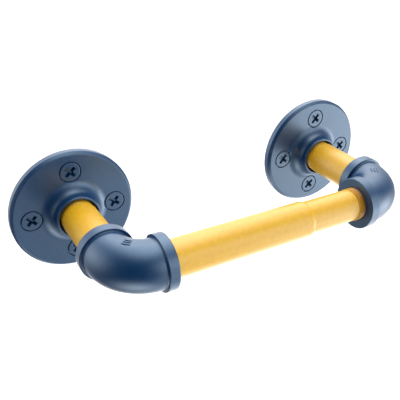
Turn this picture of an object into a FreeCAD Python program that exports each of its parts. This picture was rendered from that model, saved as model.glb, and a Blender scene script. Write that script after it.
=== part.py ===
import FreeCAD, Part
import math
import os

from FreeCAD import Placement, Rotation, Vector

# Toilet paper holder made of pipe fittings: two wall flanges, two nipples, two banded elbows
# and a sprung telescopic bar. Millimetres. The origin is on the wall plane, midway between the
# flanges. +X runs along the bar to the right, +Y into the wall and +Z up.

# --- driving dimensions -------------------------------------------------------------------------
FLANGE_SPACING = 177.0      # centre to centre
BAR_REACH = 78.3            # wall to bar axis
RUNNING_GAP = 0.07          # radial, between the sleeve and what it turns and slides on
FREE_GAP = 0.3              # between parts that only pass each other

FLANGE_R = 37.5
FLANGE_EDGE = 3.8           # height of the rim before its shoulder
FLANGE_FACE = 5.7           # height of the flat face over the wall
SHOULDER = 1.5              # how far the shoulder comes in from the rim
RIM_BREAK = 0.5             # broken edge at the wall
FLARE_R = 7.6               # radius of the trumpet between face and hub
HUB_R = 13.4
HUB_TOP = 15.2              # height of the hub's mouth over the wall
HUB_ROUND = 1.0
HUB_MOUTH_R = 11.9
HUB_MOUTH_DEPTH = 3.0

SCREW_CIRCLE_R = 25.4
SCREW_COUNT = 4
SCREW_LENGTH = 19.0
SCREW_HEAD_R = 5.95
SCREW_HEAD_RIM = 0.35       # straight edge of the head above its cone
SCREW_SHANK_R = 2.2
SCREW_THREAD_R = 3.0
SCREW_POINT = 5.0           # length of the pointed tip
SCREW_HOLE_R = 3.3
SINK_R = 6.45               # recess around the head's edge
SINK_DEPTH = 1.4
SEAT_GAP = 0.05             # radial, between the head's cone and its seat
HEAD_BELOW_FACE = 0.05
CROSS_SPAN = 7.2
CROSS_WIDTH = 1.8
CROSS_DEPTH = 2.6
CROSS_TURN = 45.0           # degrees from upright
CROSS_SWING = 6.0           # how much the crosses differ from screw to screw

NIPPLE_R = 10.75
NIPPLE_BORE_R = 7.9
PIPE_THREAD_R = 10.45       # crest of the nipple's threads
PIPE_SOCKET_R = 10.5
NIPPLE_START = 1.0          # height of its end over the wall
NIPPLE_RUNOUT = 1.7         # thread that shows in front of the hub
NIPPLE_BREAK = 0.35

ELBOW_BEND_R = 19.5
ELBOW_BODY_R = 14.1
ELBOW_MOUTH = 25.4          # corner of the two axes to each mouth
BAND_R = 15.75
BAND_WIDTH = 6.0
BAND_ROUND = 1.0
WATERWAY_R = 8.6
PIPE_SOCKET_DEPTH = 13.0
MOUTH_BREAK = 0.8           # countersink of the pipe socket
BAR_BREAK = 0.3             # countersink of the bar's mouths

SLEEVE_R = 10.65
SLEEVE_WALL = 0.5
SLEEVE_INSERT = 6.3         # how deep its end sits in the left elbow
SLEEVE_TRAVEL = 15.0
SLEEVE_END_X = 26.0
SLEEVE_ROLL = 2.4           # length over which its end is rolled in
SLEEVE_ROLL_R = 10.05

INNER_R = 9.65
INNER_WALL = 0.6
INNER_END_X = 59.2
STOP_RING_LENGTH = 4.0

BAR_THREAD_R = 10.0         # crest of the M20 thread
BAR_THREAD_GAP = 0.03
BAR_THREAD_DEPTH = 9.0      # into the right elbow
SPIGOT_LENGTH = 8.0
SPIGOT_BORE_R = 4.0

CAP_THICKNESS = 4.0
CAP_BOSS_R = 5.6
CAP_BOSS_LENGTH = 3.0
CAP_BREAK = 0.5

SPRING_R = 7.3              # to the middle of the wire
SPRING_WIRE_R = 0.7
SPRING_TURNS = 26
SPRING_END_GAP = 0.05
WASHER_R = 8.6
WASHER_BORE_R = 5.0
WASHER_THICKNESS = 1.0

# --- places worked out from them ----------------------------------------------------------------
FLANGE_X = FLANGE_SPACING / 2
MOUTH_X = FLANGE_X - ELBOW_MOUTH
SLEEVE_BORE_R = SLEEVE_R - SLEEVE_WALL
SLEEVE_START_X = -MOUTH_X - SLEEVE_INSERT
LEFT_SOCKET_R = SLEEVE_R + FREE_GAP
LEFT_SOCKET_DEPTH = SLEEVE_INSERT + FREE_GAP
RIGHT_SOCKET_R = BAR_THREAD_R + BAR_THREAD_GAP
RIGHT_SOCKET_DEPTH = BAR_THREAD_DEPTH + FREE_GAP
CAP_FACE_X = SLEEVE_START_X + CAP_THICKNESS
INNER_START_X = CAP_FACE_X + SLEEVE_TRAVEL + FREE_GAP
INNER_BORE_R = INNER_R - INNER_WALL
SPIGOT_X = INNER_END_X - SPIGOT_LENGTH
WASHER_X = SPIGOT_X - FREE_GAP - WASHER_THICKNESS

os.makedirs("parts", exist_ok=True)


# --- helpers ------------------------------------------------------------------------------------
def turned(start, *steps):
    """Solid of revolution about Z from an outline of (radius, height) points.

    A step is a point, reached by a straight line, or a pair of points: one that an arc
    passes through and the one it ends at. The outline closes itself.
    """
    def place(point):
        return Vector(point[0], 0, point[1])

    edges, here = [], start
    for step in steps:
        if isinstance(step[0], tuple):
            edges.append(Part.Arc(place(here), place(step[0]), place(step[1])).toShape())
            here = step[1]
        else:
            edges.append(Part.makeLine(place(here), place(step)))
            here = step
    edges.append(Part.makeLine(place(here), place(start)))
    face = Part.Face(Part.Wire(edges))
    return face.revolve(Vector(0, 0, 0), Vector(0, 0, 1), 360)


def rounding(centre, radius, angle):
    """Point of a circle in the outline's plane, at an angle in degrees from outwards."""
    return (centre[0] + radius * math.cos(math.radians(angle)),
            centre[1] + radius * math.sin(math.radians(angle)))


def out_of_wall(shape, x, y=0.0, z=0.0):
    """Turns a shape made along Z to stand out of the wall, towards -Y, at a point."""
    turn = Rotation(Vector(1, 0, 0), 90)
    return placed(shape, Placement(Vector(x, y, z), turn))


def along_bar(shape):
    """Turns a shape made along Z to lie along the bar, with its height as X."""
    turn = Rotation(Vector(0, 1, 0), 90)
    return placed(shape, Placement(Vector(0, -BAR_REACH, 0), turn))


def placed(shape, placement):
    moved = shape.copy()
    moved.Placement = placement.multiply(shape.Placement)
    return moved


def write(name, shape):
    """Writes one node as one clean solid."""
    solid = shape.Solids[0] if len(shape.Solids) == 1 else shape
    assert solid.isValid() and len(shape.Solids) == 1, name
    solid.exportStep(f"parts/{name}.step")


# --- wall flange --------------------------------------------------------------------------------
def wall_flange(x):
    """Round flange: rim, shoulder, flat face, trumpet flare, hub with a recessed mouth."""
    flare_centre = (HUB_R + FLARE_R, FLANGE_FACE + FLARE_R)
    lip_centre = (HUB_R - HUB_ROUND, HUB_TOP - HUB_ROUND)
    body = turned(
        (PIPE_SOCKET_R, 0),
        (FLANGE_R - RIM_BREAK, 0),
        (FLANGE_R, RIM_BREAK),
        (FLANGE_R, FLANGE_EDGE),
        (FLANGE_R - SHOULDER, FLANGE_FACE),
        (flare_centre[0], FLANGE_FACE),
        (rounding(flare_centre, FLARE_R, -135), (HUB_R, flare_centre[1])),
        (HUB_R, lip_centre[1]),
        (rounding(lip_centre, HUB_ROUND, 45), (lip_centre[0], HUB_TOP)),
        (HUB_MOUTH_R, HUB_TOP),
        (HUB_MOUTH_R, HUB_TOP - HUB_MOUTH_DEPTH),
        (PIPE_SOCKET_R, HUB_TOP - HUB_MOUTH_DEPTH - (HUB_MOUTH_R - PIPE_SOCKET_R)),
    )
    sink_floor = FLANGE_FACE - SINK_DEPTH
    cone_r = SCREW_HEAD_R - (SINK_DEPTH - HEAD_BELOW_FACE - SCREW_HEAD_RIM) + SEAT_GAP
    hole = turned(
        (0, 0),
        (SCREW_HOLE_R, 0),
        (SCREW_HOLE_R, sink_floor - (cone_r - SCREW_HOLE_R)),
        (cone_r, sink_floor),
        (SINK_R, sink_floor),
        (SINK_R, FLANGE_FACE),
        (0, FLANGE_FACE),
    )
    holes = [placed(hole, Placement(Vector(*spot, 0), Rotation())) for spot in screw_spots()]
    return out_of_wall(body.cut(holes), x)


def screw_spots():
    """The screws' places in the flange's own plane, clockwise from the top."""
    turns = [math.radians(90 - 360 / SCREW_COUNT * i) for i in range(SCREW_COUNT)]
    return [(SCREW_CIRCLE_R * math.cos(t), SCREW_CIRCLE_R * math.sin(t)) for t in turns]


# --- wood screw ---------------------------------------------------------------------------------
def wood_screw(cross_angle):
    """Countersunk screw standing out of the wall, with its point at the lowest height."""
    top = FLANGE_FACE - HEAD_BELOW_FACE
    cone_top = top - SCREW_HEAD_RIM
    point = top - SCREW_LENGTH
    body = turned(
        (0, point),
        (SCREW_THREAD_R, point + SCREW_POINT),
        (SCREW_THREAD_R, 0),
        (SCREW_SHANK_R, 0),
        (SCREW_SHANK_R, cone_top - (SCREW_HEAD_R - SCREW_SHANK_R)),
        (SCREW_HEAD_R, cone_top),
        (SCREW_HEAD_R, top),
        (0, top),
    )
    bar = Part.makeBox(CROSS_SPAN, CROSS_WIDTH, CROSS_DEPTH,
                       Vector(-CROSS_SPAN / 2, -CROSS_WIDTH / 2, top - CROSS_DEPTH))
    for quarter in (0, 90):
        turn = Rotation(Vector(0, 0, 1), cross_angle + quarter)
        body = body.cut(placed(bar, Placement(Vector(), turn)))
    return body


# --- nipple -------------------------------------------------------------------------------------
def nipple(x):
    """Short pipe with a thread at each end, drawn at the thread's crest."""
    elbow_mouth = BAR_REACH - ELBOW_MOUTH
    end = elbow_mouth + PIPE_SOCKET_DEPTH - FREE_GAP
    body_start = HUB_TOP + NIPPLE_RUNOUT
    body_end = elbow_mouth - NIPPLE_BREAK
    pipe = turned(
        (NIPPLE_BORE_R, NIPPLE_START),
        (PIPE_THREAD_R - NIPPLE_BREAK, NIPPLE_START),
        (PIPE_THREAD_R, NIPPLE_START + NIPPLE_BREAK),
        (PIPE_THREAD_R, body_start),
        (NIPPLE_R, body_start + NIPPLE_BREAK),
        (NIPPLE_R, body_end),
        (PIPE_THREAD_R, body_end + NIPPLE_BREAK),
        (PIPE_THREAD_R, end - NIPPLE_BREAK),
        (PIPE_THREAD_R - NIPPLE_BREAK, end),
        (NIPPLE_BORE_R, end),
    )
    return out_of_wall(pipe, x)


# --- elbow --------------------------------------------------------------------------------------
def elbow(side, socket_r, socket_depth):
    """Banded elbow from the nipple (towards +Y) to the bar. side is -1 on the left."""
    corner = Vector(side * FLANGE_X, -BAR_REACH, 0)
    pivot = corner + Vector(-side * ELBOW_BEND_R, ELBOW_BEND_R, 0)

    def bend(radius):
        start = corner + Vector(0, ELBOW_BEND_R, 0)
        ring = Part.makeCircle(radius, start, Vector(0, 1, 0))
        return Part.Face(Part.Wire(ring)).revolve(pivot, Vector(0, 0, 1), -90 * side)

    def on_arms(for_pipe, for_bar):
        """Shapes made along Z from the corner, laid on the two arms."""
        to_pipe = Placement(corner, Rotation(Vector(1, 0, 0), -90))
        to_bar = Placement(corner, Rotation(Vector(0, 1, 0), -90 * side))
        return placed(for_pipe, to_pipe), placed(for_bar, to_bar)

    low, high = ELBOW_MOUTH - BAND_WIDTH, ELBOW_MOUTH
    low_centre = (BAND_R - BAND_ROUND, low + BAND_ROUND)
    high_centre = (BAND_R - BAND_ROUND, high - BAND_ROUND)
    band = turned(
        (0, low),
        (low_centre[0], low),
        (rounding(low_centre, BAND_ROUND, -45), (BAND_R, low_centre[1])),
        (BAND_R, high_centre[1]),
        (rounding(high_centre, BAND_ROUND, 45), (high_centre[0], high)),
        (0, high),
    )
    body = bend(ELBOW_BODY_R).fuse(list(on_arms(band, band)))

    def socket(radius, depth, countersink):
        return turned(
            (0, high - depth),
            (radius, high - depth),
            (radius, high - countersink),
            (radius + countersink, high),
            (0, high),
        )

    neck = Part.makeCylinder(WATERWAY_R, ELBOW_MOUTH - ELBOW_BEND_R, Vector(0, 0, ELBOW_BEND_R))
    hollows = [bend(WATERWAY_R)]
    hollows += on_arms(socket(PIPE_SOCKET_R, PIPE_SOCKET_DEPTH, MOUTH_BREAK),
                       socket(socket_r, socket_depth, BAR_BREAK))
    hollows += on_arms(neck, neck)
    return body.cut(hollows).removeSplitter()


# --- bar ----------------------------------------------------------------------------------------
def bar_sleeve():
    """Larger tube, rolled in at its right end until it runs on the inner tube."""
    roll_x = SLEEVE_END_X - SLEEVE_ROLL
    lip_r = INNER_R + RUNNING_GAP
    roll_mid = (SLEEVE_R - (SLEEVE_R - SLEEVE_ROLL_R) * 0.3, roll_x + SLEEVE_ROLL * 0.6)
    return along_bar(turned(
        (SLEEVE_BORE_R, SLEEVE_START_X),
        (SLEEVE_R, SLEEVE_START_X),
        (SLEEVE_R, roll_x),
        (roll_mid, (SLEEVE_ROLL_R, SLEEVE_END_X)),
        (lip_r, SLEEVE_END_X),
        (lip_r, roll_x + SLEEVE_ROLL / 3),
        (SLEEVE_BORE_R, roll_x),
    ))


def sleeve_end_cap():
    """Disc in the sleeve's left end, with a boss that centres the spring."""
    return along_bar(turned(
        (0, SLEEVE_START_X),
        (SLEEVE_BORE_R - CAP_BREAK, SLEEVE_START_X),
        (SLEEVE_BORE_R, SLEEVE_START_X + CAP_BREAK),
        (SLEEVE_BORE_R, CAP_FACE_X),
        (CAP_BOSS_R, CAP_FACE_X),
        (CAP_BOSS_R, CAP_FACE_X + CAP_BOSS_LENGTH),
        (0, CAP_FACE_X + CAP_BOSS_LENGTH),
    ))


def bar_inner_tube():
    return along_bar(turned(
        (INNER_BORE_R, INNER_START_X),
        (INNER_R, INNER_START_X),
        (INNER_R, INNER_END_X),
        (INNER_BORE_R, INNER_END_X),
    ))


def inner_tube_stop_ring():
    """Ring on the inner tube's left end, a running fit in the sleeve."""
    outer_r = SLEEVE_BORE_R - RUNNING_GAP
    return along_bar(turned(
        (INNER_R, INNER_START_X),
        (outer_r, INNER_START_X),
        (outer_r, INNER_START_X + STOP_RING_LENGTH),
        (INNER_R, INNER_START_X + STOP_RING_LENGTH),
    ))


def bar_threaded_end():
    """Plug with a spigot in the inner tube and an M20 thread, drawn at its crest."""
    end = MOUTH_X + BAR_THREAD_DEPTH
    return along_bar(turned(
        (SPIGOT_BORE_R, SPIGOT_X),
        (INNER_BORE_R, SPIGOT_X),
        (INNER_BORE_R, INNER_END_X),
        (BAR_THREAD_R, INNER_END_X),
        (BAR_THREAD_R, end),
        (SPIGOT_BORE_R, end),
    ))


def spring_washer():
    return along_bar(turned(
        (WASHER_BORE_R, WASHER_X),
        (WASHER_R, WASHER_X),
        (WASHER_R, WASHER_X + WASHER_THICKNESS),
        (WASHER_BORE_R, WASHER_X + WASHER_THICKNESS),
    ))


def bar_spring():
    """Round wire wound from the end cap to the washer."""
    margin = SPRING_WIRE_R + SPRING_END_GAP
    start = CAP_FACE_X + margin
    length = WASHER_X - margin - start
    path = Part.makeHelix(length / SPRING_TURNS, length, SPRING_R)
    wire = Part.Wire(Part.makeCircle(SPRING_WIRE_R, Vector(SPRING_R, 0, 0), Vector(0, 1, 0)))
    coil = Part.Wire(path).makePipeShell([wire], True, True)
    coil.translate(Vector(0, 0, start))
    return along_bar(coil)


# --- nodes --------------------------------------------------------------------------------------
for side, sign in (("left", -1), ("right", 1)):
    write(f"{side}_wall_flange", wall_flange(sign * FLANGE_X))
    write(f"{side}_nipple", nipple(sign * FLANGE_X))
    for i, (where, spot) in enumerate(zip(("top", "right", "bottom", "left"), screw_spots())):
        angle = CROSS_TURN + CROSS_SWING * math.sin(2.4 * i + sign)
        screw = wood_screw(angle)
        write(f"{side}_flange_screw_{where}",
              out_of_wall(screw, sign * FLANGE_X + spot[0], z=spot[1]))

write("left_elbow", elbow(-1, LEFT_SOCKET_R, LEFT_SOCKET_DEPTH))
write("right_elbow", elbow(1, RIGHT_SOCKET_R, RIGHT_SOCKET_DEPTH))
write("bar_sleeve", bar_sleeve())
write("sleeve_end_cap", sleeve_end_cap())
write("bar_inner_tube", bar_inner_tube())
write("inner_tube_stop_ring", inner_tube_stop_ring())
write("bar_threaded_end", bar_threaded_end())
write("spring_washer", spring_washer())
write("bar_spring", bar_spring())
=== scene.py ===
import math

import bmesh
import bpy
import numpy as np
from bpy.props import FloatProperty, FloatVectorProperty, PointerProperty
from mathutils import Matrix, Vector


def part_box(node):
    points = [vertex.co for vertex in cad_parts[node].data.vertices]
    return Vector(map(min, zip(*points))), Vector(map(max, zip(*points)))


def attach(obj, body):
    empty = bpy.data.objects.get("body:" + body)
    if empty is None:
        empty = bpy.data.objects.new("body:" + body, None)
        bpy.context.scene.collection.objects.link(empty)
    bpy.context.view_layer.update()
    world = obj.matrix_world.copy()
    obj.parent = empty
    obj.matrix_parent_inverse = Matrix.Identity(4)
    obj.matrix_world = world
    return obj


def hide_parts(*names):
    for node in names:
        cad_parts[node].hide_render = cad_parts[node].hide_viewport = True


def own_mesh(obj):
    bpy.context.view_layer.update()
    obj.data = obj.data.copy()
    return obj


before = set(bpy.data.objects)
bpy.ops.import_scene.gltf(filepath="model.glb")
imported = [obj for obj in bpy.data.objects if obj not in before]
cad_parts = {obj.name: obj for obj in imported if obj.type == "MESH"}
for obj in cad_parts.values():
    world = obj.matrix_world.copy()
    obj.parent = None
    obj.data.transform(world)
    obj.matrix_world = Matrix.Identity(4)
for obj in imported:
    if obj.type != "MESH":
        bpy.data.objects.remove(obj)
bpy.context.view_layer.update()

bl_info = {
    "name": "Pipe fitting paper holder",
    "version": (1, 0, 0),
    "blender": (4, 5, 0),
    "location": "3D View > Sidebar > Paper Holder",
    "description": "Builds the coated pipe fittings, screws and sprung bar of a wall paper holder",
    "category": "Add Mesh",
}

MM = 0.001
TAU = 2 * math.pi
SIDES = {"left": -1, "right": 1}
SCREW_PLACES = ("top", "right", "bottom", "left")
FRAME_BODY, SPRING_BODY, SLEEVE_BODY = "wall_frame", "spring_group", "sleeve"


def linear(code):
    """Linear red, green and blue of an sRGB hex colour."""
    parts = np.array([int(code[i:i + 2], 16) / 255 for i in (1, 3, 5)])
    curve = np.where(parts <= 0.04045, parts / 12.92, ((parts + 0.055) / 1.055) ** 2.4)
    return tuple(float(c) for c in curve)


def colour(name, description, code):
    return FloatVectorProperty(name=name, description=description, subtype="COLOR", size=3,
                               min=0, max=1, default=linear(code))


def length(name, description, millimetres):
    return FloatProperty(name=name, description=description, subtype="DISTANCE", unit="LENGTH",
                         min=0, precision=5, default=millimetres * MM)


# --- what a user would change -------------------------------------------------------------------
class PaperHolderSizes(bpy.types.PropertyGroup):
    cast_round: length("Cast edge", "Rounding of the castings' outer edges", 0.7)
    cast_fillet: length("Cast fillet", "Fillet where a band or hub meets the body", 0.5)
    tube_break: length("Tube edge", "Rounding of the tubes' cut edges", 0.22)
    wall_of_elbow: length("Elbow wall", "Thickness of the elbow's body behind its threads", 2.6)
    pipe_pitch: length("Pipe thread", "Pitch of the nipples' threads", 1.81)
    bar_pitch: length("Bar thread", "Pitch of the thread on the bar's end", 1.5)
    screw_pitch: length("Screw thread", "Pitch of the wood screws", 2.6)
    mark_rise: length("Casting marks", "Height of the small ribs left by the moulds", 0.45)
    grain: length("Coat grain", "Size of the powder coat's grain", 0.8)


class PaperHolderColours(bpy.types.PropertyGroup):
    coat_blue: colour("Coat", "Powder coat on the castings", "#022e57")
    coat_blue_worn: colour("Coat, thin", "Powder coat where it lies thinner", "#04335c")
    coat_yellow: colour("Tube coat", "Lacquer on the tubes", "#dbaa05")
    coat_yellow_deep: colour("Tube coat, deep", "Lacquer where it lies thicker", "#d7a204")
    # The bar thread's colour is darker than the tube lacquer's. The darkening is painted shade for
    # the shade in the thread's grooves.
    thread_yellow: colour("Bar thread", "Lacquered thread of the bar's end", "#c98f0a")
    nylon: colour("Nylon", "Moulded cap in the sleeve", "#1c1d20")
    steel: colour("Steel", "Plated washer and ring", "#c3c6c9")
    wire: colour("Wire", "Drawn spring wire", "#a9acb0")
    floor: colour("Floor", "Pale floor under the holder", "#f4f4f4")


# --- outlines and surfaces ----------------------------------------------------------------------
def outline(corners, arc_step=0.12, run_step=2.0):
    """Closed outline through (across, along, fillet) corners, in millimetres.

    Each corner is an arc tangent to its two sides, in steps of about arc_step and at least
    four of them. The straight runs between are divided by the cosine rule, close together
    near the corners and about run_step apart in the middle.
    """
    spots = np.array([c[:2] for c in corners], float)
    radii = np.array([c[2] for c in corners], float)
    back = np.roll(spots, 1, 0) - spots
    ahead = np.roll(spots, -1, 0) - spots
    back /= np.linalg.norm(back, axis=1)[:, None]
    ahead /= np.linalg.norm(ahead, axis=1)[:, None]
    half = np.arccos(np.clip((back * ahead).sum(1), -1, 1)) / 2
    pieces = []
    for spot, radius, to_back, to_ahead, angle in zip(spots, radii, back, ahead, half):
        if radius == 0:
            pieces.append(spot[None])
            continue
        reach = radius / math.tan(angle)
        bisector = (to_back + to_ahead) / np.linalg.norm(to_back + to_ahead)
        centre = spot + bisector * radius / math.sin(angle)
        sweep = math.pi - 2 * angle
        t = np.linspace(0, 1, max(4, math.ceil(sweep * radius / arc_step)) + 1)[:, None]
        first = (spot + to_back * reach - centre) / math.sin(sweep)
        last = (spot + to_ahead * reach - centre) / math.sin(sweep)
        pieces.append(centre + np.sin((1 - t) * sweep) * first + np.sin(t * sweep) * last)
    filled = []
    for piece, following in zip(pieces, pieces[1:] + pieces[:1]):
        gap = following[0] - piece[-1]
        runs = max(1, math.ceil(np.linalg.norm(gap) / run_step)) + 2
        t = (1 - np.cos(np.linspace(0, math.pi, runs + 1)[1:-1])) / 2
        filled += [piece, piece[-1] + t[:, None] * gap]
    return np.concatenate(filled)


def even(profile, low, high, step):
    """Outline with the run between two heights replaced by rows a step apart, for a thread."""
    rows = np.arange(low, high + step / 2, step)
    inside = (profile[:, 1] > low) & (profile[:, 1] < high)
    outer = inside & (profile[:, 0] >= profile[inside, 0].max() - 1e-6)
    keep = profile[~outer]
    radius = profile[outer, 0].mean()
    at = np.flatnonzero(outer)
    falling = profile[at[-1], 1] < profile[at[0], 1]
    new = np.column_stack([np.full(len(rows), radius), rows[::-1] if falling else rows])
    return np.insert(keep, at[0], new, axis=0)


def thread_cut(height, turn, pitch, depth, low, high, runout):
    """How deep a right-hand thread is cut at each height and angle.

    The cut is a vee with a flat crest, depth times (1 - |2p - 1|), where p is the fraction
    of a pitch past the helix. It fades in and out over the runout at both ends.
    """
    part = np.mod(height / pitch - turn / TAU, 1)
    vee = np.clip(1.25 * (1 - np.abs(2 * part - 1)) - 0.15, 0, 1)
    fade = np.clip(np.minimum(height - low, high - height) / runout, 0, 1)
    return depth * vee * fade


def turned(profile, columns, cut=None):
    """Surface of revolution about Z: each outline point (r, h) becomes the ring
    (r cos t, r sin t, h). A cut, worked out from h and t, is taken off r."""
    turn = np.linspace(0, TAU, columns, endpoint=False)[None, :]
    radius = np.repeat(profile[:, :1], columns, 1)
    height = np.repeat(profile[:, 1:2], columns, 1)
    if cut is not None:
        radius = radius - cut(radius, height, turn)
    return np.stack([radius * np.cos(turn), radius * np.sin(turn), height], -1)


def out_of_wall(points, x=0.0, z=0.0):
    """Lays points made along Z so that their height stands out of the wall, towards -Y."""
    return np.stack([points[..., 0] + x, -points[..., 2], points[..., 1] + z], -1)


def along_bar(points):
    """Lays points made along Z so that their height runs along the bar."""
    axis_y = bar_axis_y()
    return np.stack([points[..., 2], points[..., 1] + axis_y, -points[..., 0]], -1)


def grid_object(name, points, wrap_rows=True):
    """Object of a grid of points in millimetres, closed round its columns and, if asked,
    from its last row to its first. Rows of one point are welded into a pole."""
    rows, columns = points.shape[:2]
    index = np.arange(rows * columns).reshape(rows, columns)
    index = np.hstack([index, index[:, :1]])
    if wrap_rows:
        index = np.vstack([index, index[:1]])
    quads = np.stack([index[:-1, :-1], index[:-1, 1:], index[1:, 1:], index[1:, :-1]], -1)
    quads = quads.reshape(-1, 4)
    mesh = bpy.data.meshes.new(name)
    mesh.vertices.add(rows * columns)
    mesh.vertices.foreach_set("co", (points.reshape(-1) * MM).astype(np.float32))
    mesh.loops.add(quads.size)
    mesh.loops.foreach_set("vertex_index", quads.reshape(-1).astype(np.int32))
    mesh.polygons.add(len(quads))
    mesh.polygons.foreach_set("loop_start", np.arange(0, quads.size, 4, dtype=np.int32))
    mesh.update(calc_edges=True)
    tidy(mesh)
    piece = bpy.data.objects.new(name, mesh)
    bpy.context.scene.collection.objects.link(piece)
    return piece


def tidy(mesh, weld=1e-7):
    """Welds poles and seams, points every face outwards and shades the surface smooth."""
    work = bmesh.new()
    work.from_mesh(mesh)
    bmesh.ops.remove_doubles(work, verts=work.verts, dist=weld)
    bmesh.ops.dissolve_degenerate(work, edges=work.edges, dist=weld)
    bmesh.ops.recalc_face_normals(work, faces=work.faces)
    work.to_mesh(mesh)
    work.free()
    mesh.shade_smooth()


def carve(piece, cutters, sharp_degrees=35):
    """Takes the cutters out of a piece for good, and keeps the cut's edges crisp."""
    for cutter in cutters:
        step = piece.modifiers.new("carve", "BOOLEAN")
        step.operation, step.solver, step.object = "DIFFERENCE", "EXACT", cutter
    bpy.context.view_layer.update()
    graph = bpy.context.evaluated_depsgraph_get()
    result = bpy.data.meshes.new_from_object(piece.evaluated_get(graph))
    piece.modifiers.clear()
    piece.data = result
    result.name = piece.name
    for cutter in cutters:
        bpy.data.objects.remove(cutter)
    result.set_sharp_from_angle(angle=math.radians(sharp_degrees))
    return piece


def finish_piece(piece, body, slot, material, *nodes):
    """Gives a piece its material and its body, and hides the CAD nodes that it stands for. The
    slot is not used.
    """
    piece.data.materials.clear()
    piece.data.materials.append(material)
    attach(piece, body)
    if nodes:
        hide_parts(*nodes)
    return piece


def bar_axis_y():
    low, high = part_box("bar_inner_tube")
    return (low.y + high.y) / 2 / MM


def centre_mm(node):
    low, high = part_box(node)
    return (low + high) / 2 / MM


def ends_on_bar(node):
    """Where a piece starts and ends along the bar, in millimetres."""
    low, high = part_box(node)
    return low.x / MM, high.x / MM


def turned_on_bar(name, profile, columns, cut=None):
    """Object turned about the bar's axis from an outline of (radius, place along the bar)."""
    return grid_object(name, along_bar(turned(profile, columns, cut)))


# --- materials ----------------------------------------------------------------------------------
def add_node(tree, kind, settings=None, links=None):
    """Adds a node, sets its inputs or its own fields, and links other nodes' outputs to it."""
    node = tree.nodes.new(kind)
    for key, value in (settings or {}).items():
        if isinstance(key, str) and key not in node.inputs:
            setattr(node, key, value)
        else:
            node.inputs[key].default_value = value
    for key, output in (links or {}).items():
        tree.links.new(output, node.inputs[key])
    return node


def start_material(name, **shader):
    """Material with one Principled shader, its settings given by name."""
    material = bpy.data.materials.get(name)
    if material:
        return material, None, None
    material = bpy.data.materials.new(name)
    material.use_nodes = True
    tree = material.node_tree
    tree.nodes.clear()
    settings = {key.replace("_", " "): value for key, value in shader.items()}
    principled = add_node(tree, "ShaderNodeBsdfPrincipled", settings)
    add_node(tree, "ShaderNodeOutputMaterial", links={"Surface": principled.outputs[0]})
    return material, tree, principled


def noise(tree, size, detail=1.0, rough=0.4):
    """Noise over the piece's own coordinates, with features of about size metres."""
    place = add_node(tree, "ShaderNodeTexCoord")
    return add_node(tree, "ShaderNodeTexNoise",
                    {"Scale": 1 / size, "Detail": detail, "Roughness": rough},
                    {"Vector": place.outputs["Object"]}).outputs["Fac"]


def mottled(tree, principled, first, second, size, low=0.35, high=0.65):
    """Colour that drifts between two near shades."""
    ramp = add_node(tree, "ShaderNodeMapRange", {"From Min": low, "From Max": high},
                    {"Value": noise(tree, size)})
    mix = add_node(tree, "ShaderNodeMix", {"data_type": "RGBA", 6: (*first, 1), 7: (*second, 1)},
                   {0: ramp.outputs[0]})
    tree.links.new(mix.outputs[2], principled.inputs["Base Color"])


def varied(tree, principled, socket, size, low, high):
    """A shader value that drifts between two limits."""
    ramp = add_node(tree, "ShaderNodeMapRange",
                    {"From Min": 0.3, "From Max": 0.7, "To Min": low, "To Max": high},
                    {"Value": noise(tree, size)})
    tree.links.new(ramp.outputs[0], principled.inputs[socket])


def grained(tree, principled, *layers):
    """Bumps of (size in metres, height in metres) laid over each other."""
    before = None
    for size, height in layers:
        links = {"Height": noise(tree, size)}
        if before:
            links["Normal"] = before
        bump = add_node(tree, "ShaderNodeBump", {"Strength": 1.0, "Distance": height}, links)
        before = bump.outputs[0]
    tree.links.new(before, principled.inputs["Normal"])


def powder_coat(name="satin powder coat on cast iron", grain_height=0.022 * MM):
    """Thermoset powder over a sand casting: a soft, broad shine that pales towards white
    where the light is strong, over a deep blue, with a fine even grain. The index is above
    a clear resin's 1.5, because the pigment's flakes add to the shine."""
    # The real grain is about 0.2 mm wide, and the size setting draws it as coarse as shows.
    # The shine drifts over 12 mm and the casting's waves are 8 mm long.
    tints, sizes = bpy.context.scene.paper_holder_colours, bpy.context.scene.paper_holder_sizes
    material, tree, principled = start_material(
        name, Roughness=0.3, IOR=1.9, Specular_Tint=(*linear("#d2ecff"), 1))
    if tree:
        mottled(tree, principled, tints.coat_blue, tints.coat_blue_worn, 3 * MM)
        varied(tree, principled, "Roughness", 12 * MM, 0.28, 0.32)
        grained(tree, principled, (8 * MM, 0.03 * MM), (sizes.grain, grain_height))
    return material


def tube_lacquer(name="satin lacquer on steel tube"):
    """Tinted lacquer over bright tube: a warm golden yellow with a soft long highlight and
    only a faint unevenness, from the lacquer's flow. The bright tube below lifts the index."""
    # The flow's waves are 6 mm long. The dust in the lacquer is finer than the 0.7 mm drawn.
    tints = bpy.context.scene.paper_holder_colours
    material, tree, principled = start_material(name, Roughness=0.32, IOR=1.67)
    if tree:
        mottled(tree, principled, tints.coat_yellow, tints.coat_yellow_deep, 2.5 * MM)
        varied(tree, principled, "Roughness", 12 * MM, 0.30, 0.34)
        grained(tree, principled, (6 * MM, 0.03 * MM), (0.7 * MM, 0.006 * MM))
    return material


def thread_lacquer_painted_shade():
    """The same lacquer on a cut thread, its colour painted darker as shade for the thread's
    grooves.
    """
    tints = bpy.context.scene.paper_holder_colours
    material, tree, principled = start_material(
        "lacquer on a cut thread with painted shade", Roughness=0.4, IOR=1.7)
    if tree:
        mottled(tree, principled, tints.thread_yellow, tints.coat_yellow_deep, 4 * MM, 0.5, 1.0)
        grained(tree, principled, (0.5 * MM, 0.01 * MM))
    return material


def moulded_nylon():
    """Injection-moulded nylon: near black, with a fine spark-eroded grain and a dull shine."""
    tints = bpy.context.scene.paper_holder_colours
    material, tree, principled = start_material("moulded nylon", Roughness=0.5, IOR=1.53)
    if tree:
        mottled(tree, principled, tints.nylon, linear("#26272b"), 2 * MM)
        grained(tree, principled, (0.3 * MM, 0.012 * MM))
    return material


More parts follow.
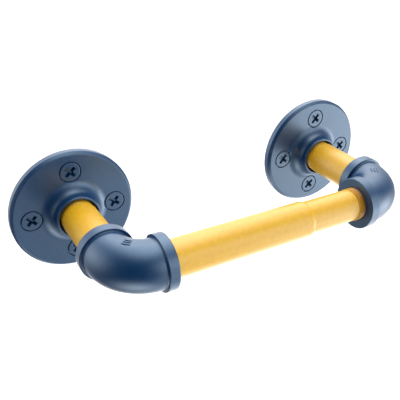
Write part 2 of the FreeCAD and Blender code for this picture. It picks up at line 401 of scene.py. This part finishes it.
def plated_steel(name, tint, rough, mark_size):
    """Turned or drawn steel with a zinc plate: a grey metal, dulled by fine tool marks."""
    material, tree, principled = start_material(name, Metallic=1.0, Roughness=rough)
    if tree:
        mottled(tree, principled, tint, tuple(c * 0.82 for c in tint), 1.5 * MM)
        grained(tree, principled, (mark_size, 0.006 * MM))
    return material


# --- wall flanges -------------------------------------------------------------------------------
# Millimetres, heights from the wall.
FLANGE_R, FLANGE_RIM, FLANGE_FACE = 37.5, 3.9, 5.7
SHOULDER_R = 36.0
HUB_R, HUB_TOP, FLARE = 13.4, 15.2, 7.4
HUB_MOUTH_R, HUB_MOUTH_FLOOR = 11.9, 12.2
FLANGE_BORE_R = 10.55
SINK_R, SINK_FLOOR, SCREW_HOLE_R = 6.45, 4.3, 3.3


def sink_cutter(name, x, z):
    """Closed cutter for one screw: the recess round the head, the cone and the hole."""
    wide, over, under = SINK_R + 0.4, 8.2, -1.5
    profile = outline([
        (0, over, 0), (wide, over, 0), (wide, 5.95, 0), (6.65, 5.72, 0), (SINK_R, 5.5, 0.15),
        (SINK_R, SINK_FLOOR, 0.2), (5.0, SINK_FLOOR, 0), (SCREW_HOLE_R, 2.6, 0),
        (SCREW_HOLE_R, under, 0), (0, under, 0)])
    return grid_object(name, out_of_wall(turned(profile, 96), x, z))


def flange_profile(sizes):
    """Half section of a flange: rim, shoulder, face, trumpet, lip, recessed mouth, bore."""
    edge, fillet = sizes.cast_round / MM, sizes.cast_fillet / MM
    return outline([
        (FLANGE_BORE_R, 0, 0.3), (FLANGE_R, 0, 0.5), (FLANGE_R, FLANGE_RIM, edge * 0.6),
        (SHOULDER_R, FLANGE_FACE, edge), (21.3, FLANGE_FACE, 0.0), (20.9, FLANGE_FACE, 0.0),
        (HUB_R, FLANGE_FACE, FLARE), (HUB_R, HUB_TOP, edge), (HUB_MOUTH_R, HUB_TOP, 0.35),
        (HUB_MOUTH_R, HUB_MOUTH_FLOOR, fillet), (FLANGE_BORE_R, 10.9, 0.3)], arc_step=0.3)


class PAPERHOLDER_OT_flanges(bpy.types.Operator):
    """Casts the two round wall flanges, with their screw recesses"""
    bl_idname = "paperholder.flanges"
    bl_label = "Wall flanges"

    def execute(self, context):
        sizes = context.scene.paper_holder_sizes
        for side in SIDES:
            node = f"{side}_wall_flange"
            shape = out_of_wall(turned(flange_profile(sizes), 256), centre_mm(node).x)
            body = grid_object(node + "_casting", shape)
            spots = [centre_mm(f"{side}_flange_screw_{place}") for place in SCREW_PLACES]
            cutters = [sink_cutter(f"cutter_{i}", s.x, s.z) for i, s in enumerate(spots)]
            carve(body, cutters)
            finish_piece(body, FRAME_BODY, "cast_blue", powder_coat(), node)
        return {"FINISHED"}


# --- wood screws --------------------------------------------------------------------------------
# Millimetres, heights from the wall.
HEAD_R, HEAD_TOP = 5.95, 5.65
SHANK_R, SCREW_R = 2.2, 3.0
POINT_FROM, POINT_TO = -8.35, -13.35
CROSS_SPAN, CROSS_WIDTH, CROSS_DEPTH = 7.2, 1.8, 2.6
CROSS_TURN, CROSS_SWING = 45, 6  # degrees from upright, and how much it differs by screw


def cross_cutter(turn):
    """Closed cutter for a cross recess: a plus shape that narrows towards its floor. Each of
    its levels is a height with what the arms' span and width are multiplied by there."""
    half_span, half_width = CROSS_SPAN / 2, CROSS_WIDTH / 2
    levels = [(HEAD_TOP + 1, 1.12, 1.3), (HEAD_TOP, 1.03, 1.16), (HEAD_TOP - 0.25, 1.0, 1.0),
              (HEAD_TOP - CROSS_DEPTH, 0.62, 0.7)]
    rings = []
    for height, span, width in levels:
        arm = np.array([(half_span * span, -half_width * width),
                        (half_span * span, half_width * width),
                        (half_width * width, half_width * width)])
        spins = [np.array([[math.cos(a), -math.sin(a)], [math.sin(a), math.cos(a)]])
                 for a in turn + np.arange(4) * math.pi / 2]
        ring = np.concatenate([arm @ spin.T for spin in spins])
        rings.append(np.column_stack([ring, np.full(len(ring), height)]))
    middle = [np.repeat(ring.mean(0)[None], len(ring), 0) for ring in (rings[0], rings[-1])]
    return np.stack([middle[0], *rings, middle[1]])


def screw_profile():
    """Half section of a countersunk screw, from the middle of its head to its point."""
    return outline([
        (0, HEAD_TOP, 0), (HEAD_R, HEAD_TOP, 0.25), (HEAD_R, HEAD_TOP - 0.42, 0.12),
        (SHANK_R, 1.53, 0.6), (SHANK_R, 0.6, 0), (SCREW_R, 0, 0.2), (SCREW_R, POINT_FROM, 0.6),
        (0.0, POINT_TO, 0)], run_step=1.5)


class PAPERHOLDER_OT_screws(bpy.types.Operator):
    """Forges the eight countersunk cross-head wood screws"""
    bl_idname = "paperholder.screws"
    bl_label = "Wood screws"

    def execute(self, context):
        sizes = context.scene.paper_holder_sizes
        pitch = sizes.screw_pitch / MM

        def cut(radius, height, turn):
            groove = thread_cut(height, turn, pitch, 1.0, POINT_TO + 0.45, -0.3, 1.2)
            return groove * np.clip(radius / SCREW_R, 0, 1) * (height < 0)

        profile = even(screw_profile(), POINT_FROM + 0.45, -0.4, 0.15)
        shape = turned(profile, 48, cut)
        for side, sign in SIDES.items():
            for i, place in enumerate(SCREW_PLACES):
                node = f"{side}_flange_screw_{place}"
                at = centre_mm(node)
                screw = grid_object(node + "_forged", out_of_wall(shape, at.x, at.z))
                turn = math.radians(CROSS_TURN + CROSS_SWING * math.sin(2.4 * i + sign))
                cross = out_of_wall(cross_cutter(turn), at.x, at.z)
                carve(screw, [grid_object("cross", cross, wrap_rows=False)])
                coat = powder_coat("satin coat on a forged screw", 0.012 * MM)
                finish_piece(screw, FRAME_BODY, "screw_blue", coat, node)
        return {"FINISHED"}


# --- nipples ------------------------------------------------------------------------------------
NIPPLE_R, NIPPLE_BORE_R, PIPE_THREAD_R = 10.75, 7.9, 10.45
FLANGE_THREAD_END, ELBOW_THREAD_LENGTH = 17.0, 14.0


class PAPERHOLDER_OT_nipples(bpy.types.Operator):
    """Turns the two short threaded pipes between the flanges and the elbows"""
    bl_idname = "paperholder.nipples"
    bl_label = "Nipples"

    def execute(self, context):
        sizes = context.scene.paper_holder_sizes
        pitch, edge = sizes.pipe_pitch / MM, sizes.tube_break / MM
        for side in SIDES:
            node = f"{side}_nipple"
            low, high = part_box(node)
            start, end = -high.y / MM, -low.y / MM
            first, last = FLANGE_THREAD_END, end - ELBOW_THREAD_LENGTH
            profile = outline([
                (NIPPLE_BORE_R, start, edge), (PIPE_THREAD_R, start, 0.4),
                (PIPE_THREAD_R, first, 0), (NIPPLE_R, first + 0.35, edge),
                (NIPPLE_R, last, edge), (PIPE_THREAD_R, last + 0.35, 0),
                (PIPE_THREAD_R, end, 0.4), (NIPPLE_BORE_R, end, edge)])
            profile = even(profile, start + 0.5, first - 0.02, 0.15)
            profile = even(profile, last + 0.4, end - 0.5, 0.15)

            def cut(radius, height, turn):
                inner = thread_cut(height, turn, pitch, 0.75, start, first + 0.1, 0.8)
                outer = thread_cut(height, turn, pitch, 0.75, last + 0.2, end, 0.8)
                return (inner + outer) * (radius > 9.5)

            shape = out_of_wall(turned(profile, 128, cut), centre_mm(node).x)
            pipe = grid_object(node + "_pipe", shape)
            finish_piece(pipe, FRAME_BODY, "pipe_yellow", tube_lacquer(), node)
        return {"FINISHED"}


# --- elbows -------------------------------------------------------------------------------------
# Millimetres. The path runs down the middle of the passage, from mouth to mouth.
ELBOW_BEND_R = 19.5
ELBOW_BODY_R = 14.1
ELBOW_STRAIGHT = 5.9
ELBOW_PATH = 2 * ELBOW_STRAIGHT + ELBOW_BEND_R * math.pi / 2
BAND_WIDTH, BAND_R = 6.0, 15.75
PIPE_SOCKET_R, WATERWAY_R = 10.5, 8.6
BAR_SOCKETS = {"left": (10.95, 6.6), "right": (10.05, 9.3)}  # radius and depth
MARK_COUNT, MARK_LENGTH, MARK_THICK, MARK_SPACING = 3, 4.4, 0.5, 1.8
MARK_PLACE = {"left": 0.5, "right": 0.42}  # fraction of the path


def bent(s, radius, around, side, corner):
    """Points carried along the elbow's path. The point (s, r, a) stands r from the path at
    length s, turned by a round it from the outside of the bend. The path runs down the
    nipple's arm, through a quarter turn of the bend's radius, then along the bar's arm."""
    s, radius, around = np.broadcast_arrays(s, radius, around)
    angle = np.clip((s - ELBOW_STRAIGHT) / ELBOW_BEND_R, 0, math.pi / 2)
    outwards = np.stack([side * np.cos(angle), -np.sin(angle)], -1)
    pivot = np.array([-side * ELBOW_BEND_R, ELBOW_BEND_R])
    middle = pivot + ELBOW_BEND_R * outwards
    before = np.maximum(ELBOW_STRAIGHT - s, 0)
    after = np.maximum(s - (ELBOW_PATH - ELBOW_STRAIGHT), 0)
    middle = middle + np.stack([-side * after, before], -1)
    flat = middle + (radius * np.cos(around))[..., None] * outwards
    rise = radius * np.sin(around)
    return np.stack([flat[..., 0] + corner.x, flat[..., 1] + corner.y, rise + corner.z], -1)


def rib(length_mm, thick, rows=28, columns=16):
    """Capsule about its own long axis, as (along, across, up) offsets: a rod of radius
    thick whose ends are round."""
    t = np.linspace(-1, 1, rows)[:, None]
    straight = length_mm / 2 - thick
    along = np.sin(t * math.pi / 2) * thick + np.clip(t * 3, -1, 1) * straight
    size = thick * np.cos(t * math.pi / 2) ** 0.5
    size[0], size[-1] = 0, 0
    ring = np.linspace(0, TAU, columns, endpoint=False)[None, :]
    return along + 0 * ring, size * np.cos(ring), size * np.sin(ring)


def elbow_profile(sizes, hole_r, hole_depth):
    """Outline in (path length, radius): two bands, the body, and the passage with its
    pipe socket at the start and the bar's mouth at the end."""
    edge, fillet = sizes.cast_round / MM, sizes.cast_fillet / MM
    inner_r = ELBOW_BODY_R - sizes.wall_of_elbow / MM
    far = ELBOW_PATH
    last_band, floor = far - BAND_WIDTH, far - hole_depth
    return outline([
        (0, BAND_R, edge), (BAND_WIDTH, BAND_R, edge * 0.5), (BAND_WIDTH, ELBOW_BODY_R, fillet),
        (last_band, ELBOW_BODY_R, fillet), (last_band, BAND_R, edge * 0.5), (far, BAND_R, edge),
        (far, hole_r + 0.35, 0.25), (far - 0.5, hole_r, 0.1), (floor, hole_r, 0.2),
        (floor - 0.6, 9.0, 0.4), (floor - 4, WATERWAY_R, 1.5), (14.5, WATERWAY_R, 1.0),
        (13.2, inner_r, 0.8), (6.8, inner_r, 0.6), (6.2, PIPE_SOCKET_R, 0.2),
        (0.8, PIPE_SOCKET_R, 0.2), (0, 11.3, 0.2)], arc_step=0.2, run_step=0.8)


class PAPERHOLDER_OT_elbows(bpy.types.Operator):
    """Casts the two banded elbows"""
    bl_idname = "paperholder.elbows"
    bl_label = "Elbows"

    def execute(self, context):
        sizes = context.scene.paper_holder_sizes
        around = np.linspace(0, TAU, 160, endpoint=False)[None, :]
        along, across, up = rib(MARK_LENGTH, MARK_THICK)
        height = ELBOW_BODY_R + sizes.mark_rise / MM - MARK_THICK + up
        for side, sign in SIDES.items():
            node = f"{side}_elbow"
            corner = Vector((centre_mm(f"{side}_nipple").x, bar_axis_y(), 0))
            profile = elbow_profile(sizes, *BAR_SOCKETS[side])
            body = grid_object(node + "_casting",
                               bent(profile[:, :1], profile[:, 1:2], around, sign, corner))
            finish_piece(body, FRAME_BODY, "cast_blue", powder_coat(), node)

            s = ELBOW_PATH * MARK_PLACE[side] + along
            for i in range(MARK_COUNT):
                turn = math.pi / 2 + (across + MARK_SPACING * (i - 1)) / ELBOW_BODY_R
                points = bent(s, height, turn, sign, corner)
                mark = grid_object(f"{side}_elbow_rib_{i + 1}", points, wrap_rows=False)
                finish_piece(mark, FRAME_BODY, "cast_blue", powder_coat())
        return {"FINISHED"}


# --- bar ----------------------------------------------------------------------------------------
SLEEVE_R, SLEEVE_BORE_R, SLEEVE_LIP_R = 10.65, 10.15, 9.74
CAP_R, CAP_SPIGOT_R = 10.1, 5.6
TUBE_R, TUBE_BORE_R = 9.65, 9.05
STOP_RING_R = 10.08
BAR_THREAD_R, PLUG_R, PLUG_BORE_R = 10.0, 9.02, 4.0
WIRE_R, SPRING_TURNS = 0.7, 26
WASHER_R, WASHER_BORE_R = 8.6, 5.0


class PAPERHOLDER_OT_sleeve(bpy.types.Operator):
    """Draws the bar's larger tube, rolled in at its right end"""
    bl_idname = "paperholder.sleeve"
    bl_label = "Bar sleeve"

    def execute(self, context):
        edge = context.scene.paper_holder_sizes.tube_break / MM
        low, high = ends_on_bar("bar_sleeve")
        profile = outline([
            (SLEEVE_BORE_R, low, edge * 0.8), (SLEEVE_R, low, edge), (SLEEVE_R, high - 1.5, 3.2),
            (10.02, high, 0.12), (SLEEVE_LIP_R, high, 0.1), (SLEEVE_LIP_R, high - 1.5, 0.5),
            (SLEEVE_BORE_R, high - 2.6, 0.5)])
        tube = turned_on_bar("bar_sleeve_tube", profile, 144)
        finish_piece(tube, SLEEVE_BODY, "bar_yellow", tube_lacquer(), "bar_sleeve")
        return {"FINISHED"}


class PAPERHOLDER_OT_end_cap(bpy.types.Operator):
    """Moulds the cap that closes the sleeve's left end"""
    bl_idname = "paperholder.end_cap"
    bl_label = "Sleeve end cap"

    def execute(self, context):
        low, high = ends_on_bar("sleeve_end_cap")
        face = high - 3.0
        profile = outline([
            (0, low + 0.25, 0), (5.2, low + 0.25, 0.4), (5.8, low, 0.3), (9.6, low, 0.4),
            (CAP_R, low + 0.6, 0.2), (CAP_R, face, 0.15), (CAP_SPIGOT_R, face, 0.4),
            (CAP_SPIGOT_R, high, 0.6), (0, high, 0)])
        cap = turned_on_bar("sleeve_end_cap_moulding", profile, 96)
        finish_piece(cap, SLEEVE_BODY, "cap_nylon", moulded_nylon(), "sleeve_end_cap")
        return {"FINISHED"}


class PAPERHOLDER_OT_inner_tube(bpy.types.Operator):
    """Draws the bar's smaller tube and the stop ring on its hidden end"""
    bl_idname = "paperholder.inner_tube"
    bl_label = "Bar inner tube"

    def execute(self, context):
        colours = context.scene.paper_holder_colours
        edge = context.scene.paper_holder_sizes.tube_break / MM
        low, high = ends_on_bar("bar_inner_tube")
        profile = outline([(TUBE_BORE_R, low, edge), (TUBE_R, low, edge), (TUBE_R, high, edge),
                           (TUBE_BORE_R, high, edge)])
        tube = turned_on_bar("bar_inner_tube_drawn", profile, 144)
        finish_piece(tube, FRAME_BODY, "bar_yellow", tube_lacquer(), "bar_inner_tube")

        low, high = ends_on_bar("inner_tube_stop_ring")
        bore_r = TUBE_R + 0.01
        profile = outline([(bore_r, low, 0.08), (STOP_RING_R, low, 0.12),
                           (STOP_RING_R, high, 0.12), (bore_r, high, 0.08)])
        ring = turned_on_bar("inner_tube_stop_ring_turned", profile, 96)
        steel = plated_steel("turned zinc plated steel", tuple(colours.steel), 0.32, 0.4 * MM)
        finish_piece(ring, FRAME_BODY, "plain_steel", steel, "inner_tube_stop_ring")
        return {"FINISHED"}


class PAPERHOLDER_OT_threaded_end(bpy.types.Operator):
    """Cuts the threaded end that fixes the bar in the right elbow"""
    bl_idname = "paperholder.threaded_end"
    bl_label = "Bar threaded end"

    def execute(self, context):
        pitch = context.scene.paper_holder_sizes.bar_pitch / MM
        low, high = ends_on_bar("bar_threaded_end")
        shoulder = ends_on_bar("bar_inner_tube")[1]
        profile = outline([
            (PLUG_BORE_R, low, 0.3), (PLUG_R, low, 0.4), (PLUG_R, shoulder, 0),
            (BAR_THREAD_R, shoulder + 0.02, 0.1), (BAR_THREAD_R, high, 0.5),
            (PLUG_BORE_R, high, 0.3)])
        profile = even(profile, shoulder + 0.2, high - 0.6, 0.125)

        def cut(radius, height, turn):
            return thread_cut(height, turn, pitch, 0.8, shoulder, high, 0.5) * (radius > 9.5)

        plug = turned_on_bar("bar_threaded_end_cut", profile, 128, cut)
        finish_piece(plug, FRAME_BODY, "thread_yellow", thread_lacquer_painted_shade(), "bar_threaded_end")
        return {"FINISHED"}


class PAPERHOLDER_OT_spring(bpy.types.Operator):
    """Winds the spring in the bar and turns the washer that it rests on"""
    # The wire's middle runs along (coil_r cos a, coil_r sin a, rise a), and its round section
    # stands across that path.
    bl_idname = "paperholder.spring"
    bl_label = "Bar spring"

    def execute(self, context):
        colours = context.scene.paper_holder_colours
        low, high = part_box("bar_spring")
        coil_r = (high.z - low.z) / 2 / MM - WIRE_R
        start, end = low.x / MM + WIRE_R, high.x / MM - WIRE_R
        t = np.linspace(0, 1, SPRING_TURNS * 36 + 1)[:, None]
        spin = TAU * SPRING_TURNS * t
        ring = np.linspace(0, TAU, 14, endpoint=False)[None, :]
        thick = WIRE_R * np.where((t == 0) | (t == 1), 0, 1)
        reach = coil_r + thick * np.cos(ring)
        rise = (end - start) / (TAU * SPRING_TURNS)
        lean = rise / math.hypot(rise, coil_r)
        across = -thick * np.sin(ring) * lean
        height = start + (end - start) * t + thick * np.sin(ring) * math.sqrt(1 - lean ** 2)
        points = np.stack([reach * np.cos(spin) - across * np.sin(spin),
                           reach * np.sin(spin) + across * np.cos(spin), height], -1)
        wire = plated_steel("drawn spring wire", tuple(colours.wire), 0.36, 0.3 * MM)
        coil = grid_object("bar_spring_wound", along_bar(points), wrap_rows=False)
        finish_piece(coil, SPRING_BODY, "spring_steel", wire, "bar_spring")
        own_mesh(coil)

        low, high = ends_on_bar("spring_washer")
        profile = outline([(WASHER_BORE_R, low, 0.15), (WASHER_R, low, 0.2),
                           (WASHER_R, high, 0.2), (WASHER_BORE_R, high, 0.15)])
        washer = turned_on_bar("spring_washer_turned", profile, 96)
        steel = plated_steel("turned zinc plated steel", tuple(colours.steel), 0.32, 0.4 * MM)
        finish_piece(washer, SPRING_BODY, "plain_steel", steel, "spring_washer")
        return {"FINISHED"}


# --- stage --------------------------------------------------------------------------------------
FLOOR_DROP, FLOOR_HALF = 0.45, 8.0
CAMERA_AT = Vector((-0.1763, -0.3137, 0.1795))
CAMERA_AIM = Vector((-0.0232, -0.0411, 0.0073))
CAMERA_LENS = 54.66
CAMERA_ROLL = 0.35
DOME_GLOW = 0.03
DOME_LIGHTS = (  # strength, tightness, direction from the holder
    (6.5, 14, (0.81, -0.50, -0.32)),
    (5.1, 6, (0.35, 0.50, 0.79)),
    (2.0, 4, (0.20, 0.98, -0.15)),
    (4.6, 14, (-0.30, -0.36, -0.88)),
    (3.2, 8, (-0.83, 0.50, 0.22)),
    (0.8, 24, (0.20, -0.82, -0.53)),
    (3.6, 14, (0.45, -0.82, 0.34)),
    (0.9, 14, (0.43, -0.89, -0.15)),
    (3.4, 12, (0.58, -0.05, -0.81)),
    (3.2, 12, (0.39, 0.59, -0.71)),
    (2.8, 12, (0.10, -0.10, 0.99)),
)


def studio_dome():
    """White light tent with a few soft lamps. Each lamp adds strength times
    exp(tightness * (cos(angle from its direction) - 1)) to the tent's even glow.
    The tent itself looks plain white."""
    world = bpy.data.worlds.new("studio")
    world.use_nodes = True
    tree = world.node_tree
    tree.nodes.clear()
    place = add_node(tree, "ShaderNodeTexCoord").outputs["Generated"]
    total = None
    for strength, tightness, direction in DOME_LIGHTS:
        facing = add_node(tree, "ShaderNodeVectorMath", {"operation": "DOT_PRODUCT", 1: direction},
                          {0: place})
        fall = add_node(tree, "ShaderNodeMath",
                        {"operation": "MULTIPLY_ADD", 1: tightness, 2: -tightness},
                        {0: facing.outputs["Value"]})
        glow = add_node(tree, "ShaderNodeMath", {"operation": "EXPONENT"}, {0: fall.outputs[0]})
        step = add_node(tree, "ShaderNodeMath",
                        {"operation": "MULTIPLY_ADD", 1: strength, 2: DOME_GLOW},
                        {0: glow.outputs[0]})
        if total:
            tree.links.new(total, step.inputs[2])
        total = step.outputs[0]
    light = add_node(tree, "ShaderNodeBackground", links={"Strength": total})
    plain = add_node(tree, "ShaderNodeBackground", {"Color": (1, 1, 1, 1), "Strength": 1})
    seen = add_node(tree, "ShaderNodeLightPath").outputs["Is Camera Ray"]
    both = add_node(tree, "ShaderNodeMixShader",
                    links={0: seen, 1: light.outputs[0], 2: plain.outputs[0]})
    add_node(tree, "ShaderNodeOutputWorld", links={"Surface": both.outputs[0]})
    return world


class PAPERHOLDER_OT_stage(bpy.types.Operator):
    """Lays the pale floor and sets up the soft lights and the camera"""
    bl_idname = "paperholder.stage"
    bl_label = "Stage"

    def execute(self, context):
        scene = context.scene
        corners = [(-1, -1), (1, -1), (1, 1), (-1, 1)]
        mesh = bpy.data.meshes.new("floor")
        mesh.from_pydata([(x * FLOOR_HALF, y * FLOOR_HALF, -FLOOR_DROP) for x, y in corners],
                         [], [(0, 1, 2, 3)])
        floor = bpy.data.objects.new("floor", mesh)
        scene.collection.objects.link(floor)
        tint = (*scene.paper_holder_colours.floor, 1)
        material, _, _ = start_material("matt white paper", Base_Color=tint, Roughness=0.9)
        mesh.materials.append(material)

        # The holder hangs clear of the floor, which neither lights nor shades it.
        floor.visible_diffuse = floor.visible_glossy = floor.visible_shadow = False
        scene.world = studio_dome()
        scene.view_settings.view_transform = "Standard"

        camera = bpy.data.objects.new("camera", bpy.data.cameras.new("camera"))
        camera.data.lens, camera.data.clip_start = CAMERA_LENS, 0.01
        look = (CAMERA_AIM - CAMERA_AT).to_track_quat("-Z", "Y").to_matrix()
        roll = Matrix.Rotation(math.radians(CAMERA_ROLL), 3, "Z")
        camera.matrix_world = Matrix.Translation(CAMERA_AT) @ (look @ roll).to_4x4()
        scene.collection.objects.link(camera)
        scene.camera = camera
        return {"FINISHED"}


# --- add-on -------------------------------------------------------------------------------------
PIECES = (PAPERHOLDER_OT_flanges, PAPERHOLDER_OT_screws, PAPERHOLDER_OT_nipples,
          PAPERHOLDER_OT_elbows, PAPERHOLDER_OT_sleeve, PAPERHOLDER_OT_end_cap,
          PAPERHOLDER_OT_inner_tube, PAPERHOLDER_OT_threaded_end, PAPERHOLDER_OT_spring,
          PAPERHOLDER_OT_stage)


class PAPERHOLDER_PT_pieces(bpy.types.Panel):
    """Lists the holder's pieces, sizes and colours"""
    bl_label = "Paper Holder"
    bl_space_type = "VIEW_3D"
    bl_region_type = "UI"
    bl_category = "Paper Holder"

    def draw(self, context):
        column = self.layout.column()
        for settings in (context.scene.paper_holder_sizes, context.scene.paper_holder_colours):
            for key in settings.__annotations__:
                column.prop(settings, key)
        for piece in PIECES:
            column.operator(piece.bl_idname)


CLASSES = (PaperHolderSizes, PaperHolderColours, *PIECES, PAPERHOLDER_PT_pieces)


def register():
    for item in CLASSES:
        bpy.utils.register_class(item)
    bpy.types.Scene.paper_holder_sizes = PointerProperty(type=PaperHolderSizes)
    bpy.types.Scene.paper_holder_colours = PointerProperty(type=PaperHolderColours)


def unregister():
    del bpy.types.Scene.paper_holder_colours
    del bpy.types.Scene.paper_holder_sizes
    for item in reversed(CLASSES):
        bpy.utils.unregister_class(item)


def main():
    register()
    for piece in PIECES:
        group, name = piece.bl_idname.split(".")
        getattr(getattr(bpy.ops, group), name)()


if __name__ == "__main__":
    main()
